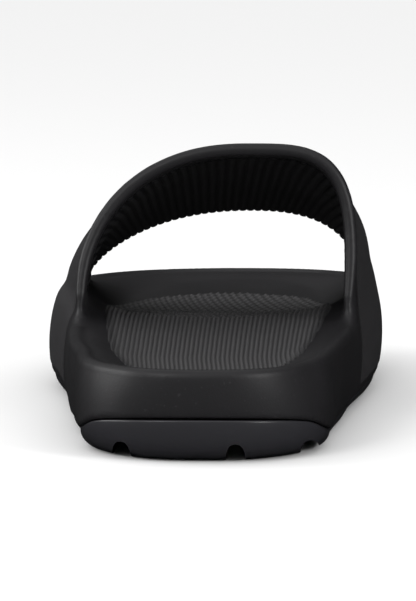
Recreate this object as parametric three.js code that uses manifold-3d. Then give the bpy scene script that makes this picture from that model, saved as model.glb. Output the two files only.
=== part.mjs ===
// A sport slide sandal for the left foot, in millimetres, standing on its sole.
// +X is the inner side of the foot, +Y points to the toes and +Z is up.
// The footbed, side wall, rim and wide strap are moulded whole in soft foam.
// The outsole is a second layer under them, with channels cut in its tread.
import * as THREE from 'three';
import Module from 'manifold-3d';

// Driving sizes of the sole.
const length = 290;
const ballWidth = 110.5;
const lipHeight = 13.5;
const rimHeight = 33.6;
const bedHeight = 28.5;
const toeSpring = 8.5;
const outsoleThickness = 4.6;
const wallLean = 2.6;
const wallBulge = 1.5;
const lipStep = 1;
const rimRound = 2.7;
const rimThickness = 5.5;
const rimDrop = 0.9;
const cupWidth = 16;
const bedDish = 1.8;
const archLift = 2.6;
const heelRadius = 44;
const heelPower = 2.4;
const toeRadius = 80;
const toePower = 2.35;
const seamReach = 18;
const edgeRound = 5;
const edgeRoundPerRise = 0.75;
const clearance = 0.3;

// Driving sizes of the strap.
const strapHeight = 83;
const strapThickness = 4.2;
const strapRearBase = 112;
const strapRearTop = 128;
const strapFrontTop = 204;
const strapFrontOuter = 222;
const strapFrontInner = 206;
const edgeSweep = 2.5;
const beadRise = 0.8;
const flankSwell = 1.8;
const rootInset = 0.4;
const rootDepth = 6;

// Driving sizes of the channels in the tread.
const channelWidth = 6;
const channelDepth = 3.2;
const channelMouth = 2.6;
const crossWidth = 4;
const crossDepth = 2.4;
const crossBow = 9;

// How finely the forms are cut into faces.
const heelSteps = 15;
const middleSteps = 10;
const toeSteps = 14;
const bedColumns = 8;
const underColumns = 4;
const girthSteps = 42;
const archSamples = 160;

// The outline at the lip, from heel to toe: along is a share of length, the others of ballWidth.
const outlineRows = [
  { along: 0.00, centre: 0.000, half: 0.357 },
  { along: 0.15, centre: 0.000, half: 0.358 },
  { along: 0.26, centre: -0.010, half: 0.388 },
  { along: 0.37, centre: -0.010, half: 0.418 },
  { along: 0.50, centre: -0.012, half: 0.456 },
  { along: 0.66, centre: -0.025, half: 0.500 },
  { along: 0.81, centre: -0.007, half: 0.487 },
  { along: 1.00, centre: 0.054, half: 0.440 },
];

// Heights, as shares of lipHeight, rimHeight, bedHeight and toeSpring.
const heightRows = [
  { along: 0.00, lip: 1.00, rim: 0.850, bed: 0.82, tread: 0.00 },
  { along: 0.05, lip: 0.84, rim: 0.842, bed: 0.82, tread: 0.00 },
  { along: 0.10, lip: 0.55, rim: 0.838, bed: 0.79, tread: 0.00 },
  { along: 0.15, lip: 0.39, rim: 0.836, bed: 0.765, tread: 0.00 },
  { along: 0.30, lip: 0.38, rim: 0.882, bed: 0.85, tread: 0.00 },
  { along: 0.38, lip: 0.44, rim: 0.920, bed: 0.93, tread: 0.18 },
  { along: 0.48, lip: 0.42, rim: 0.965, bed: 1.00, tread: 0.10 },
  { along: 0.55, lip: 0.41, rim: 0.985, bed: 0.96, tread: 0.00 },
  { along: 0.66, lip: 0.43, rim: 1.000, bed: 0.87, tread: 0.00 },
  { along: 0.74, lip: 0.50, rim: 0.985, bed: 0.88, tread: 0.00 },
  { along: 0.83, lip: 0.62, rim: 0.955, bed: 0.92, tread: 0.14 },
  { along: 0.92, lip: 0.88, rim: 0.925, bed: 0.97, tread: 0.50 },
  { along: 1.00, lip: 1.15, rim: 0.890, bed: 1.00, tread: 1.00 },
];

// The side wall from heel to toe, where Outer and Inner are the sides of the foot,
// as shares of wallLean, wallBulge, bedDish and archLift.
const wallRows = [
  { along: 0.00, leanOuter: 0.60, leanInner: 0.60, bulge: 0.3, dish: 0.7, arch: 0.0 },
  { along: 0.15, leanOuter: 0.60, leanInner: 0.60, bulge: 0.3, dish: 0.7, arch: 0.0 },
  { along: 0.38, leanOuter: -0.50, leanInner: -0.50, bulge: 0.6, dish: 0.9, arch: 0.8 },
  { along: 0.50, leanOuter: -0.70, leanInner: -0.20, bulge: 0.8, dish: 1.0, arch: 1.0 },
  { along: 0.65, leanOuter: -0.70, leanInner: -0.10, bulge: 1.0, dish: 0.8, arch: 0.3 },
  { along: 0.80, leanOuter: -0.60, leanInner: -0.35, bulge: 0.8, dish: 0.5, arch: 0.0 },
  { along: 1.00, leanOuter: -0.40, leanInner: -0.40, bulge: 0.4, dish: 0.2, arch: 0.0 },
];

// The rounded rim on top of the wall, as shares of rimRound, rimThickness and cupWidth.
const rimRows = [
  { along: 0.00, roundOuter: 0.7, roundInner: 0.7, crown: 0.50, cup: 1.20 },
  { along: 0.15, roundOuter: 0.7, roundInner: 0.7, crown: 0.50, cup: 1.15 },
  { along: 0.38, roundOuter: 0.6, roundInner: 0.5, crown: 0.65, cup: 1.05 },
  { along: 0.50, roundOuter: 0.9, roundInner: 0.4, crown: 0.80, cup: 0.95 },
  { along: 0.65, roundOuter: 1.0, roundInner: 0.4, crown: 1.00, cup: 0.85 },
  { along: 0.80, roundOuter: 0.8, roundInner: 0.7, crown: 0.75, cup: 1.00 },
  { along: 1.00, roundOuter: 0.7, roundInner: 0.7, crown: 0.55, cup: 1.20 },
];

// The arch under the strap: height is a share of strapHeight and peak of ballWidth.
// outer and inner are the powers of its two quarter curves: 2 is an ellipse, and more is squarer.
const archRows = [
  { along: 0.36, height: 1.020, peak: 0.095, outer: 2.3, inner: 4.8 },
  { along: 0.44, height: 1.000, peak: 0.093, outer: 2.25, inner: 4.1 },
  { along: 0.52, height: 0.945, peak: 0.090, outer: 2.05, inner: 3.0 },
  { along: 0.61, height: 0.845, peak: 0.086, outer: 1.98, inner: 2.8 },
  { along: 0.705, height: 0.703, peak: 0.081, outer: 1.95, inner: 2.5 },
  { along: 0.78, height: 0.590, peak: 0.080, outer: 1.9, inner: 2.3 },
];

// The tread's long channels from the outer side to the inner, as shares of the half width
// at the heel and at the toe.
const channelRows = [
  { heel: -0.62, toe: -0.50 },
  { heel: 0.27, toe: 0.00 },
  { heel: 0.84, toe: 0.50 },
];
// The tread's cross channels, as shares of length.
const crossShares = [0.16, 0.29, 0.42, 0.52, 0.62, 0.72, 0.82];

const wasm = await Module();
wasm.setup();

const lerp = (a, b, t) => a + (b - a) * t;
const ease = (t) => {
  const held = Math.min(Math.max(t, 0), 1);
  return held * held * (3 - 2 * held);
};

// A smooth curve through one column of a table, with no overshoot between rows.
function curveThrough(rows, column) {
  const x = rows.map((row) => row.along);
  const y = rows.map((row) => row[column]);
  const slopes = x.slice(1).map((right, k) => (y[k + 1] - y[k]) / (right - x[k]));
  const tangents = x.map((_, k) => {
    if (k === 0) return slopes[0];
    if (k === x.length - 1) return slopes[k - 1];
    const product = slopes[k - 1] * slopes[k];
    return product <= 0 ? 0 : (2 * product) / (slopes[k - 1] + slopes[k]);
  });
  return (along) => {
    const at = Math.min(Math.max(along, x[0]), x[x.length - 1]);
    let k = x.length - 2;
    while (k > 0 && at < x[k]) k -= 1;
    const step = x[k + 1] - x[k];
    const t = (at - x[k]) / step;
    const bend = step * t * (1 - t);
    return y[k] * (1 + 2 * t) * (1 - t) ** 2 + y[k + 1] * t * t * (3 - 2 * t)
      + bend * ((1 - t) * tangents[k] - t * tangents[k + 1]);
  };
}

// The columns of a table as functions of y, each times the size that it is a share of.
function sized(rows, sizes) {
  const made = {};
  for (const [column, size] of Object.entries(sizes)) {
    const curve = curveThrough(rows, column);
    made[column] = (y) => curve(y / length) * size;
  }
  return made;
}

const outline = sized(outlineRows, { centre: ballWidth, half: ballWidth });
const height = sized(heightRows, {
  lip: lipHeight, rim: rimHeight, bed: bedHeight, tread: toeSpring,
});
const wall = sized(wallRows, {
  leanOuter: wallLean, leanInner: wallLean, bulge: wallBulge, dish: bedDish, arch: archLift,
});
const rim = sized(rimRows, {
  roundOuter: rimRound, roundInner: rimRound, crown: rimThickness, cup: cupWidth,
});
const arch = sized(archRows, { height: strapHeight, peak: ballWidth, outer: 1, inner: 1 });

// Side is -1 on the outer side of the foot and 1 on the inner side.
const lean = (y, side) => (side < 0 ? wall.leanOuter(y) : wall.leanInner(y));
const rimCurve = (y, side) => (side < 0 ? rim.roundOuter(y) : rim.roundInner(y));

// Half the sole's width at the lip, with the round ends of the heel and the toe.
function halfWidth(y) {
  const fromHeel = Math.max(0, 1 - y / heelRadius);
  const fromToe = Math.max(0, 1 - (length - y) / toeRadius);
  const heelEnd = Math.max(0, 1 - fromHeel ** heelPower) ** (1 / heelPower);
  const toeEnd = Math.max(0, 1 - fromToe ** toePower) ** (1 / toePower);
  return outline.half(y) * heelEnd * toeEnd;
}

// The stations run from the heel to the toe, and close up at both round ends.
const toeStart = length - toeRadius;
const quarter = Math.PI / 2;
const stations = [
  ...Array.from({ length: heelSteps }, (_, k) => (
    heelRadius * (1 - Math.cos((quarter * k) / heelSteps))
  )),
  ...Array.from({ length: middleSteps }, (_, k) => lerp(heelRadius, toeStart, k / middleSteps)),
  ...Array.from({ length: toeSteps + 1 }, (_, k) => (
    toeStart + toeRadius * Math.sin((quarter * k) / toeSteps)
  )),
];
const last = stations.length - 1;
const around = 2 * last;

// A ring's points run up the outer side from heel to toe, and back down the inner side.
function stationOf(index) {
  const station = index <= last ? index : around - index;
  return { y: stations[station], side: index <= last ? -1 : 1 };
}

// The point a distance inside the outline, towards the spine that the rings shrink to.
function inside(index, distance) {
  const { y, side } = stationOf(index);
  const edge = new THREE.Vector2(outline.centre(y) + side * halfWidth(y), y);
  const spineY = Math.min(Math.max(y, heelRadius), toeStart);
  const spine = new THREE.Vector2(outline.centre(spineY), spineY);
  return edge.add(spine.sub(edge).normalize().multiplyScalar(distance));
}

// The height of the footbed at a point: a dish, with a lift under the arch of the foot.
function bedAt(x, y) {
  const across = (x - outline.centre(y)) / outline.half(y);
  const inner = Math.max(0, across);
  return height.bed(y) + wall.dish(y) * across * across + wall.arch(y) * inner * inner;
}

// The foam and the outsole meet along rings at these distances inside the outline.
// The outermost ring is the lip, where the outsole steps in below the wall.
const seamDistances = [22, 12, 5, 0];
const stepIn = (y) => lipStep * ease(y / heelRadius);
const seamDistance = (y, distance) => Math.max(distance, stepIn(y));
function seamHeight(y, distance) {
  const flat = height.tread(y) + outsoleThickness;
  return lerp(height.lip(y), flat, ease(seamDistance(y, distance) / seamReach));
}

function solidOf(points, triangles) {
  const mesh = new wasm.Mesh({
    numProp: 3,
    vertProperties: new Float32Array(points.flat()),
    triVerts: new Uint32Array(triangles),
  });
  return new wasm.Manifold(mesh);
}

// A mesh under construction, made of rings round the sole.
function ringMesh() {
  const points = [];
  const triangles = [];
  const add = (x, y, z) => points.push([x, y, z]) - 1;
  const quad = (a, b, c, d) => {
    if (a !== b && b !== c) triangles.push(a, b, c);
    if (c !== d && d !== a) triangles.push(a, c, d);
  };
  const ring = (distance, rise) => Array.from({ length: around }, (_, index) => {
    const { y, side } = stationOf(index);
    const at = inside(index, distance(y, side));
    return add(at.x, at.y, rise(y, side, at));
  });
  // Faces that mate with a neighbour are split along the same diagonal: turned picks the other one.
  const band = (lower, upper, turned = false) => {
    for (let a = 0; a < around; a += 1) {
      const b = (a + 1) % around;
      if (turned) quad(lower[a], upper[a], upper[b], lower[b]);
      else quad(lower[b], lower[a], upper[a], upper[b]);
    }
  };
  // Rows from side to side, one for each station, close a ring with a face that looks up or down.
  const close = (edge, columns, rise, looksUp) => {
    const rows = stations.map((_, k) => Array.from({ length: columns + 1 }, (__, c) => {
      if (k === 0 || k === last || c === 0) return edge[k];
      if (c === columns) return edge[around - k];
      const [left, right] = [points[edge[k]], points[edge[around - k]]];
      const x = lerp(left[0], right[0], c / columns);
      const y = lerp(left[1], right[1], c / columns);
      return add(x, y, rise(x, y));
    }));
    for (let k = 0; k < last; k += 1) {
      for (let c = 0; c < columns; c += 1) {
        const [a, b, d, e] = [rows[k][c], rows[k][c + 1], rows[k + 1][c + 1], rows[k + 1][c]];
        if (looksUp) quad(a, b, d, e);
        else quad(a, e, d, b);
      }
    }
  };
  return { points, triangles, ring, band, close };
}

// The foam's shape below the strap: under side, wall, rounded rim, cup and footbed.
const wallShares = [0.03, 0.15, 0.35, 0.6, 0.82, 1];
const rimAngles = [Math.PI / 6, Math.PI / 3];
const crownShares = [0, 0.5, 1];
const cupShares = [0.25, 0.5, 0.75, 1];

function soleBody() {
  const mesh = ringMesh();
  const under = seamDistances.map((distance) => mesh.ring(
    (y) => seamDistance(y, distance),
    (y) => seamHeight(y, distance) + clearance,
  ));
  const walls = wallShares.map((share) => mesh.ring(
    (y, side) => -lean(y, side) * share - wall.bulge(y) * 4 * share * (1 - share),
    (y, side) => lerp(height.lip(y) + clearance, height.rim(y) - rimCurve(y, side), share),
  ));
  const shoulders = rimAngles.map((angle) => mesh.ring(
    (y, side) => rimCurve(y, side) * (1 - Math.cos(angle)) - lean(y, side),
    (y, side) => height.rim(y) - rimCurve(y, side) * (1 - Math.sin(angle)),
  ));
  const crowns = crownShares.map((share) => mesh.ring(
    (y, side) => rimCurve(y, side) - lean(y, side) + rim.crown(y) * share,
    (y) => height.rim(y) - rimDrop * share * share,
  ));
  const cups = cupShares.map((share) => mesh.ring(
    (y, side) => rimCurve(y, side) - lean(y, side) + rim.crown(y) + rim.cup(y) * share,
    (y, side, at) => lerp(height.rim(y) - rimDrop, bedAt(at.x, at.y), ease(share)),
  ));
  const rings = [...under, ...walls, ...shoulders, ...crowns, ...cups];
  rings.slice(1).forEach((upper, k) => mesh.band(rings[k], upper));
  mesh.close(under[0], underColumns, (x, y) => seamHeight(y, seamDistances[0]) + clearance, false);
  mesh.close(rings[rings.length - 1], bedColumns, bedAt, true);
  return solidOf(mesh.points, mesh.triangles);
}

// The strap's inner surface is an arch at each y, from the outer root to the inner root.
const archCache = new Map();
function archAt(y) {
  if (archCache.has(y)) return archCache.get(y);
  const roots = [-1, 1].map((side) => outline.centre(y) + side * (
    halfWidth(y) + lean(y, side) - rimCurve(y, side) - rim.crown(y) + rootInset
  ));
  const base = height.rim(y) - rimDrop;
  const rise = arch.height(y) - base;
  const samples = Array.from({ length: archSamples + 1 }, (_, k) => {
    const angle = (Math.PI * k) / archSamples;
    const onOuter = angle < quarter;
    const power = 2 / (onOuter ? arch.outer(y) : arch.inner(y));
    return new THREE.Vector2(
      lerp(arch.peak(y), onOuter ? roots[0] : roots[1], Math.abs(Math.cos(angle)) ** power),
      base + rise * Math.abs(Math.sin(angle)) ** power,
    );
  });
  const lengths = [0];
  samples.slice(1).forEach((at, k) => lengths.push(lengths[k] + at.distanceTo(samples[k])));
  archCache.set(y, { samples, lengths });
  return archCache.get(y);
}

// A point on it, share of the way round the arch, with the way out through the strap.
function strapInner(share, y) {
  const { samples, lengths } = archAt(y);
  const target = share * lengths[archSamples];
  let k = 1;
  while (k < archSamples && lengths[k] < target) k += 1;
  const t = (target - lengths[k - 1]) / (lengths[k] - lengths[k - 1]);
  const at = samples[k - 1].clone().lerp(samples[k], t);
  return new THREE.Vector3(at.x, y, at.y);
}
const probeShare = 0.01;
const probeLength = 1;
function strapFrame(share, y) {
  const ahead = strapInner(Math.min(1, share + probeShare), y);
  const behind = strapInner(Math.max(0, share - probeShare), y);
  const forward = strapInner(share, y + probeLength)
    .sub(strapInner(share, y - probeLength))
    .normalize();
  const girth = ahead.sub(behind).normalize();
  const out = new THREE.Vector3().crossVectors(girth, forward).normalize();
  return { at: strapInner(share, y), forward, out };
}

// The rear and front edges sweep from their bases at the rim to their tops.
const edgeFade = (share) => 1 - Math.abs(2 * share - 1) ** edgeSweep;
const rearEdge = (share) => lerp(strapRearBase, strapRearTop, edgeFade(share));
const frontEdge = (share) => lerp(
  share < 0.5 ? strapFrontOuter : strapFrontInner,
  strapFrontTop,
  edgeFade(share),
);

// Across the strap, raised beads border the edges, and a panel swells between them on each flank.
const beadShare = 0.09;
const rootShare = 0.14;
const flankEnd = 0.36;
function strapWall(share, y, across) {
  const fromRoot = Math.min(share, 1 - share);
  const fromEdge = Math.min(across, 1 - across);
  const leaving = ease(fromRoot / rootShare);
  const rootWall = rim.crown(y) - 2 * rootInset;
  const valley = ease(fromEdge / beadShare) * beadRise * leaving;
  const onFlank = leaving * (1 - ease((fromRoot - rootShare) / (flankEnd - rootShare)));
  const swell = flankSwell * onFlank * ease((fromEdge - beadShare / 2) / (0.5 - beadShare));
  return lerp(rootWall, strapThickness, leaving) - valley + swell;
}

const acrossShares = [0, 0.04, 0.09, 0.18, 0.32, 0.5, 0.68, 0.82, 0.91, 0.96, 1];
const edgeDepths = [0.2, 0.5, 0.8];
const edgeBulge = 0.5;

// One closed loop of points round the strap's section, sunk straight down at the roots.
function strapLoop(share, sink) {
  const place = (across, depth, push) => {
    const y = lerp(rearEdge(share), frontEdge(share), across);
    const { at, forward, out } = strapFrame(share, y);
    const thick = strapWall(share, y, across);
    at.addScaledVector(out, thick * depth).addScaledVector(forward, thick * push);
    return [at.x, at.y, at.z - sink];
  };
  const edge = (across, way, depths) => depths.map(
    (depth) => place(across, depth, way * edgeBulge * Math.sin(Math.PI * depth)),
  );
  const downwards = [...edgeDepths].reverse();
  return [
    ...acrossShares.map((across) => place(across, 1, 0)),
    ...edge(1, 1, downwards),
    ...[...acrossShares].reverse().map((across) => place(across, 0, 0)),
    ...edge(0, -1, edgeDepths),
  ];
}

function strapBody() {
  const loops = [
    strapLoop(0, rootDepth),
    ...Array.from({ length: girthSteps + 1 }, (_, j) => strapLoop(j / girthSteps, 0)),
    strapLoop(1, rootDepth),
  ];
  const size = loops[0].length;
  const triangles = [];
  const quad = (a, b, c, d) => triangles.push(a, b, c, a, c, d);
  for (let j = 0; j + 1 < loops.length; j += 1) {
    for (let s = 0; s < size; s += 1) {
      const next = (s + 1) % size;
      quad(j * size + s, (j + 1) * size + s, (j + 1) * size + next, j * size + next);
    }
  }
  // Each end is closed by strips between its outer and inner rows, and by a fan at each edge.
  const columns = acrossShares.length;
  const rounded = edgeDepths.length;
  const innerAt = (c) => columns + rounded + (columns - 1 - c);
  for (const [start, turn] of [[0, 1], [(loops.length - 1) * size, -1]]) {
    const face = (a, b, c) => {
      const corners = [start + a, start + b, start + c];
      triangles.push(...(turn > 0 ? corners : corners.reverse()));
    };
    for (let c = 0; c + 1 < columns; c += 1) {
      face(c, c + 1, innerAt(c + 1));
      face(c, innerAt(c + 1), innerAt(c));
    }
    for (let k = 0; k < rounded; k += 1) {
      face(columns - 1, columns + k, columns + k + 1);
      face(innerAt(0), innerAt(0) + 1 + k, (innerAt(0) + 2 + k) % size);
    }
  }
  return solidOf(loops.flat(), triangles);
}

// A channel under the tread along a path of plan points, open below, with a chamfered roof.
const channelSection = [[-0.5, 0], [-0.5, 0.7], [-0.3, 1], [0.3, 1], [0.5, 0.7], [0.5, 0]];
const channelFloor = -3;
function channel(path, width, roofOf) {
  const sides = channelSection.length;
  const points = path.flatMap(([x, y], k) => {
    const [before, after] = [path[Math.max(0, k - 1)], path[Math.min(path.length - 1, k + 1)]];
    const run = new THREE.Vector2(after[0] - before[0], after[1] - before[1]).normalize();
    return channelSection.map(([across, up]) => [
      x + run.y * across * width,
      y - run.x * across * width,
      lerp(channelFloor, roofOf(y), up),
    ]);
  });
  const triangles = [];
  for (let k = 0; k + 1 < path.length; k += 1) {
    for (let s = 0; s < sides; s += 1) {
      const [a, b] = [k * sides + s, k * sides + ((s + 1) % sides)];
      triangles.push(a, b, b + sides, a, b + sides, a + sides);
    }
  }
  const end = (path.length - 1) * sides;
  for (let s = 1; s + 1 < sides; s += 1) {
    triangles.push(0, s + 1, s, end, end + s, end + s + 1);
  }
  return solidOf(points, triangles);
}

// Where a long channel's middle lies at y.
function channelX(row, y) {
  return outline.centre(y) + lerp(row.heel, row.toe, ease(y / length)) * outline.half(y);
}

const sideShares = [1, 0.7, 0.42, 0.2, 0.06];
const flatInset = 4;
const channelSteps = 18;
const crossSteps = 8;

function outsole() {
  const mesh = ringMesh();
  const reach = (y) => edgeRound
    + edgeRoundPerRise * Math.max(0, height.lip(y) - height.tread(y) - outsoleThickness);
  const flat = mesh.ring((y) => stepIn(y) + reach(y) + flatInset, (y) => height.tread(y));
  const sides = sideShares.map((share) => mesh.ring(
    (y) => stepIn(y) + reach(y) * share,
    (y) => lerp(height.tread(y), height.lip(y), 1 - Math.sqrt(1 - (1 - share) ** 2)),
  ));
  const tops = [...seamDistances].reverse().map((distance) => mesh.ring(
    (y) => seamDistance(y, distance),
    (y) => seamHeight(y, distance),
  ));
  const rings = [flat, ...sides, tops[0]];
  rings.slice(1).forEach((upper, k) => mesh.band(rings[k], upper));
  tops.slice(1).forEach((upper, k) => mesh.band(tops[k], upper, true));
  mesh.close(flat, underColumns, (x, y) => height.tread(y), false);
  mesh.close(tops[tops.length - 1], underColumns, (x, y) => seamHeight(y, seamDistances[0]), true);
  let made = solidOf(mesh.points, mesh.triangles);
  for (const row of channelRows) {
    const path = Array.from({ length: channelSteps + 1 }, (_, k) => {
      const y = lerp(-channelWidth, length + channelWidth, k / channelSteps);
      return [channelX(row, y), y];
    });
    made = made.subtract(channel(path, channelWidth, (y) => (
      height.tread(y) + channelDepth + channelMouth * (1 - ease(y / heelRadius))
    )));
  }
  // The cross channels bow towards the heel at both ends, and end in the outermost long channels.
  for (const along of crossShares) {
    const path = Array.from({ length: crossSteps + 1 }, (_, k) => {
      const across = lerp(-1, 1, k / crossSteps);
      const y = along * length - crossBow * across * across;
      const ends = [channelRows[0], channelRows[channelRows.length - 1]];
      const [from, to] = ends.map((row) => channelX(row, y));
      return [lerp(from, to, k / crossSteps), y];
    });
    made = made.subtract(channel(path, crossWidth, (y) => height.tread(y) + crossDepth));
  }
  return made;
}

// A solid as a named mesh with its own material.
function piece(name, solid, material) {
  const mesh = solid.getMesh();
  const geometry = new THREE.BufferGeometry();
  geometry.setAttribute('position', new THREE.BufferAttribute(mesh.vertProperties, mesh.numProp));
  geometry.setIndex(new THREE.BufferAttribute(mesh.triVerts, 1));
  geometry.computeVertexNormals();
  const made = new THREE.Mesh(geometry, material);
  made.name = name;
  return made;
}

const foam = new THREE.MeshStandardMaterial({ color: 0x2a292b, roughness: 0.62, metalness: 0 });
const rubber = new THREE.MeshStandardMaterial({ color: 0x33343a, roughness: 0.48, metalness: 0 });

const shoe = new THREE.Group();
shoe.add(piece('moulded_body', soleBody().add(strapBody()), foam));
shoe.add(piece('outsole', outsole(), rubber));

// The origin is on the floor, under the middle of the shoe.
const box = new THREE.Box3().setFromObject(shoe);
const middle = box.getCenter(new THREE.Vector3());
shoe.position.set(-middle.x, -middle.y, -box.min.z);

export default shoe;
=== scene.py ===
"""A left slide sandal in soft foam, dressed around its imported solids."""
import math

import bmesh
import bpy
import numpy as np
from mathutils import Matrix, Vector
from mathutils.bvhtree import BVHTree
from mathutils.kdtree import KDTree


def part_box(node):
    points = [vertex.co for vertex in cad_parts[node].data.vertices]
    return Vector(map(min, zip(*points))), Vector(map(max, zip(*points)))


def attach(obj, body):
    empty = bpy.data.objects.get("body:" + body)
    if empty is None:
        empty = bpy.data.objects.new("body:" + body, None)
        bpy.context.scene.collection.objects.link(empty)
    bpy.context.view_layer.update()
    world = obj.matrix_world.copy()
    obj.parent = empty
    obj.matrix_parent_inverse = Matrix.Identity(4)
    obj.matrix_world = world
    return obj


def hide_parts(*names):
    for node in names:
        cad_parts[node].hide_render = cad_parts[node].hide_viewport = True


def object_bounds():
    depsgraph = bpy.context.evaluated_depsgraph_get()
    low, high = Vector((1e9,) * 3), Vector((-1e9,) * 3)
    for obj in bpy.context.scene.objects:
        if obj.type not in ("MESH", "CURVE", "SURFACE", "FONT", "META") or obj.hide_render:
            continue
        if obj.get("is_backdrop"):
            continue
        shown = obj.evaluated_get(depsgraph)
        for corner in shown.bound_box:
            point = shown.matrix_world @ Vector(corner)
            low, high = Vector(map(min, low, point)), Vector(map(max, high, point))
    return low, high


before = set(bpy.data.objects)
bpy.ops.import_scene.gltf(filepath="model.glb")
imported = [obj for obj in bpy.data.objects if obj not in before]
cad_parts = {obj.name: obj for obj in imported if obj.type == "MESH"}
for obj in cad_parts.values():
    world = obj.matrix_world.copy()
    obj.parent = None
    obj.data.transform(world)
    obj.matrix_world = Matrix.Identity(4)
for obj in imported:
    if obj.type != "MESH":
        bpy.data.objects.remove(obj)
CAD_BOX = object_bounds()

bl_info = {
    "name": "Slide sandal",
    "version": (1, 0, 0),
    "blender": (4, 5, 0),
    "location": "3D View > Sidebar > Slide",
    "description": "Builds a foam slide sandal with its outsole, linings and studio",
    "category": "Add Mesh",
}

MM = 0.001

# The outline at the lip, from heel to toe: along is a share of the length, the others of the ball's width.
OUTLINE = {
    "along": (0.00, 0.15, 0.26, 0.37, 0.50, 0.66, 0.81, 1.00),
    "centre": (0.000, 0.000, -0.010, -0.010, -0.012, -0.025, -0.007, 0.054),
    "half": (0.357, 0.358, 0.388, 0.418, 0.456, 0.500, 0.487, 0.440),
}
# Heights, as shares of the lip's, the rim's and the footbed's height, and of the toe spring.
HEIGHTS = {
    "along": (0.00, 0.05, 0.10, 0.15, 0.30, 0.38, 0.48, 0.55, 0.66, 0.74, 0.83, 0.92, 1.00),
    "lip": (1.00, 0.84, 0.55, 0.39, 0.38, 0.44, 0.42, 0.41, 0.43, 0.50, 0.62, 0.88, 1.15),
    "rim": (0.850, 0.848, 0.856, 0.866, 0.892, 0.920, 0.965, 0.985, 1.000, 0.985, 0.955, 0.925, 0.890),
    "bed": (0.82, 0.82, 0.79, 0.765, 0.85, 0.93, 1.00, 0.96, 0.87, 0.88, 0.92, 0.97, 1.00),
    "tread": (0.00, 0.00, 0.00, 0.00, 0.00, 0.18, 0.10, 0.00, 0.00, 0.00, 0.14, 0.50, 1.00),
}
# The wall and rim on the outer and inner side of the foot, as shares of the wall's named sizes.
WALL = {
    "along": (0.00, 0.04, 0.07, 0.10, 0.15, 0.21, 0.30, 0.38, 0.50, 0.65, 0.80, 1.00),
    "lean_outer": (0.30, -0.80, -0.65, -0.30, 0.10, 0.30, 0.10, -0.30, -0.70, -0.70, -0.60, -0.40),
    "lean_inner": (0.30, -0.65, -0.95, -0.65, -0.05, 0.45, 0.55, 0.30, -0.20, -0.10, -0.35, -0.40),
    "bulge": (0.3, 0.3, 0.4, 0.5, 0.5, 0.5, 0.6, 0.6, 0.8, 1.0, 0.8, 0.4),
    "round_outer": (0.9, 0.9, 0.9, 0.9, 0.9, 0.8, 0.7, 0.7, 0.9, 1.0, 0.8, 0.7),
    "round_inner": (0.9, 0.9, 0.9, 0.9, 0.9, 0.8, 0.7, 0.6, 0.4, 0.4, 0.7, 0.7),
    "rim": (0.42, 0.42, 0.42, 0.42, 0.44, 0.50, 0.57, 0.62, 0.80, 1.00, 0.75, 0.55),
    "cup": (1.20, 1.20, 1.18, 1.17, 1.15, 1.12, 1.08, 1.05, 0.95, 0.85, 1.00, 1.20),
    "dish": (0.7, 0.7, 0.7, 0.7, 0.7, 0.8, 0.85, 0.9, 1.0, 0.8, 0.5, 0.2),
    "arch": (0.0, 0.0, 0.0, 0.0, 0.0, 0.2, 0.5, 0.8, 1.0, 0.3, 0.0, 0.0),
}
# The arch under the strap. outer and inner are the powers of its quarter curves.
ARCH = {
    "along": (0.36, 0.44, 0.52, 0.61, 0.705, 0.78),
    "height": (1.020, 1.000, 0.945, 0.845, 0.703, 0.590),
    "peak": (0.095, 0.093, 0.090, 0.086, 0.081, 0.080),
    "outer": (2.30, 2.25, 2.05, 1.98, 1.95, 1.90),
    "inner": (4.8, 4.1, 3.0, 2.8, 2.5, 2.3),
}
# The footbed's ribbed field: its reach to each side, as shares of the ball's half width.
FIELD = {
    "along": (0.085, 0.10, 0.14, 0.21, 0.38, 0.52, 0.64, 0.72, 0.78, 0.82),
    "outer": (0.06, 0.27, 0.45, 0.53, 0.62, 0.66, 0.66, 0.58, 0.40, 0.05),
    "inner": (0.06, 0.28, 0.48, 0.57, 0.66, 0.71, 0.71, 0.66, 0.52, 0.10),
}
# The tread's long channels, as shares of the half width at the heel and at the toe.
CHANNELS = ((-0.62, -0.50), (0.27, 0.00), (0.84, 0.50))
# The cross channels' places, as shares of the length.
CROSS_SHARES = (0.16, 0.29, 0.42, 0.52, 0.62, 0.72, 0.82)

# Rings of points have about this many on each side of the foot, and rows across have this many faces.
RING_POINTS = 240
ACROSS_FACES = 40
# The seam between foam and outsole is modelled this far in from the edge, and is flat beyond it.
SEAM_END = 22 * MM


def length_prop(name, description, millimetres):
    return bpy.props.FloatProperty(
        name=name, description=description, default=millimetres * MM, unit="LENGTH", precision=5
    )


def colour_prop(name, description, colour):
    return bpy.props.FloatVectorProperty(
        name=name, description=description, default=colour, size=3, subtype="COLOR", min=0, max=1
    )


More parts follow.
